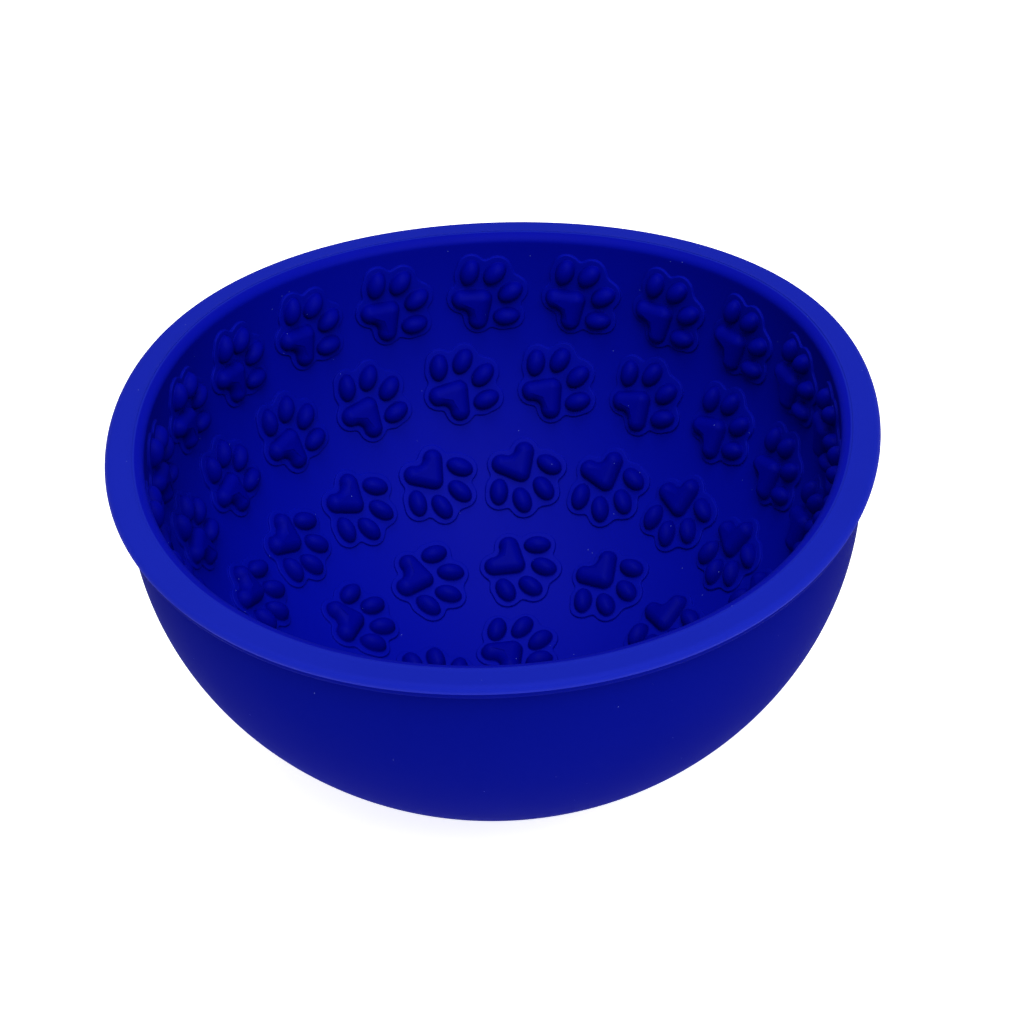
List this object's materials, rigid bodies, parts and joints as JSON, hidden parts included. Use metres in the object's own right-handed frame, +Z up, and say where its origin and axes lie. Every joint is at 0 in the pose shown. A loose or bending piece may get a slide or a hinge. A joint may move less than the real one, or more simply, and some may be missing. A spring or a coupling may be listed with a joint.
{
  "type": "pet bowl",
  "caption": "Hemispherical silicone bowl for pet feeding, licking or washing, with a flat-topped lip and rows of raised paw prints inside.",
  "frame": {"origin": "middle of the foot's flat face, on the bowl's axis", "axes": "+Z up along the bowl's axis to its mouth; +Y towards the back, seen from the front"},
  "size_m": [0.13, 0.13, 0.0637],
  "materials": {
    "silicone": "matt moulded silicone with a soft sheen"
  },
  "bodies": {
    "root": {"rim_lip": "silicone", "wall_upper": "silicone", "wall_middle": "silicone", "wall_floor": "silicone", "foot": "silicone", "row_1_plates": "silicone", "row_1_main_pads": "silicone", "row_1_toe_pads": "silicone", "row_2_plates": "silicone", "row_2_main_pads": "silicone", "row_2_toe_pads": "silicone", "row_3_plates": "silicone", "row_3_main_pads": "silicone", "row_3_toe_pads": "silicone", "row_4_plates": "silicone", "row_4_main_pads": "silicone", "row_4_toe_pads": "silicone", "row_5_plates": "silicone", "row_5_main_pads": "silicone", "row_5_toe_pads": "silicone"}
  },
  "joints": []
}
